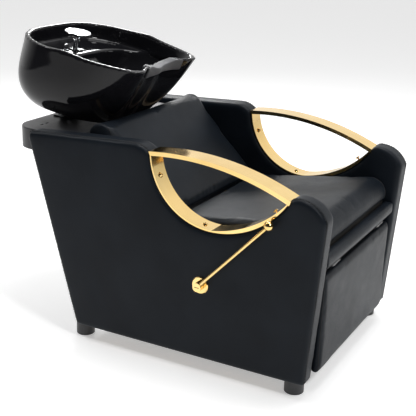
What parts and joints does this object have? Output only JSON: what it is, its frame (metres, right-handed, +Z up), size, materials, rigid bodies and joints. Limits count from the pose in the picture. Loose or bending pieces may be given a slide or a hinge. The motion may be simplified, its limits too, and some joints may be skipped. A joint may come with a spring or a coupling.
{
  "type": "shampoo backwash unit",
  "caption": "Upholstered salon backwash chair with arched armrest loops, a lever-raised leg rest and a tilting ceramic basin on a rear housing.",
  "frame": {"origin": "on the floor, on the centre line, midway between the front and rear feet", "axes": "+Z up; the sitter faces -Y and the basin is at the +Y end; +X is the sitter's left; the lever is on the -X side"},
  "size_m": [0.71, 1.1011, 0.8498],
  "materials": {
    "upholstery": "satin black grained",
    "polished_gold": "polished",
    "black_ceramic": "gloss",
    "neck_rubber": "matt",
    "chrome": "polished",
    "black_plastic": "satin moulded",
    "plywood": "raw",
    "stained_plywood": "stained black",
    "black_steel": "powder coated",
    "zinc_steel": "zinc plated",
    "brass": "turned",
    "braided_hose": "braided"
  },
  "bodies": {
    "base": {"armrest_bar_left": "polished_gold", "armrest_bar_right": "polished_gold", "armrest_screws": "polished_gold", "armrest_strip_left": "polished_gold", "armrest_strip_right": "polished_gold", "back_cover": "stained_plywood", "back_cover_screws": "zinc_steel", "back_rail": "black_steel", "backrest_board": "plywood", "backrest_cushion": "upholstery", "basin_yoke": "black_steel", "feet": "black_plastic", "floor_rail_front": "black_steel", "floor_rail_rear": "black_steel", "front_band": "upholstery", "front_band_rail": "stained_plywood", "housing_brackets": "black_plastic", "housing_frame": "black_steel", "leg_rest_hinge_brackets": "black_steel", "lever_rosette": "polished_gold", "rear_housing": "black_plastic", "seat_board": "stained_plywood", "seat_cushion": "upholstery", "seat_rail_front": "black_steel", "seat_rail_rear": "black_steel", "shaft_bearings": "zinc_steel", "side_board_left": "plywood", "side_board_right": "plywood", "side_pad_left": "upholstery", "side_pad_right": "upholstery", "tilt_pin": "zinc_steel", "yoke_bolts": "zinc_steel"},
    "basin": {"basin_bowl": "black_ceramic", "neck_rest": "neck_rubber", "basin_cradle": "black_steel", "drain_flange": "chrome", "drain_nut": "black_plastic", "waste_cup": "black_plastic", "waste_hose": "black_plastic", "tap_base_ring": "chrome", "tap_body": "chrome", "tap_lock_nut": "brass", "spray_socket": "chrome", "supply_hoses": "braided_hose"},
    "tap_turn": {"tap_stem": "chrome"},
    "tap_lever": {"tap_handle": "chrome"},
    "hand_spray": {"spray_body": "chrome", "spray_rose": "black_plastic"},
    "strainer": {"drain_strainer": "chrome"},
    "lever": {"lever_rod": "polished_gold", "lever_knob": "polished_gold", "lever_shaft": "zinc_steel", "cranks": "zinc_steel"},
    "drive": {"drive_rods": "zinc_steel"},
    "leg_rest": {"leg_rest_pad": "upholstery", "leg_rest_board": "stained_plywood", "leg_rest_hinge_leaves": "black_steel", "leg_rest_lugs": "zinc_steel"}
  },
  "joints": [
    {"name": "basin_tilt", "type": "hinge", "parent": "base", "child": "basin", "pos_m": [0, 0.548, 0.606], "axis": [-1, 0, 0], "range_deg": [0, 12]},
    {"name": "lever_swing", "type": "hinge", "parent": "base", "child": "lever", "pos_m": [0, -0.071, 0.264], "axis": [-1, 0, 0], "range_deg": [0, 60]},
    {"name": "drive_rod_swing", "type": "hinge", "parent": "lever", "child": "drive", "pos_m": [0, -0.026, 0.18606], "axis": [-1, 0, 0], "range_deg": [-60, 0]},
    {"name": "leg_rest_swing", "type": "hinge", "parent": "base", "child": "leg_rest", "pos_m": [0, -0.384, 0.343], "axis": [-1, 0, 0], "range_deg": [0, 62.1]},
    {"name": "tap_swivel", "type": "hinge", "parent": "basin", "child": "tap_turn", "pos_m": [0, 0.56511, 0.81094], "axis": [0, -0.1788, 0.9839], "range_deg": [-45, 45]},
    {"name": "tap_lift", "type": "hinge", "parent": "tap_turn", "child": "tap_lever", "pos_m": [0, 0.56341, 0.82028], "axis": [-1, 0, 0], "range_deg": [0, 12]},
    {"name": "spray_lift", "type": "slide", "parent": "basin", "child": "hand_spray", "axis": [0, -0.1788, 0.9839], "range_m": [0, 0.055]},
    {"name": "strainer_lift", "type": "slide", "parent": "basin", "child": "strainer", "axis": [0, -0.1788, 0.9839], "range_m": [0, 0.02]}
  ],
  "couplings": [
    {"joint": "drive_rod_swing", "follows": "lever_swing", "ratio": -1},
    {"joint": "leg_rest_swing", "follows": "lever_swing", "ratio": 1.035}
  ]
}
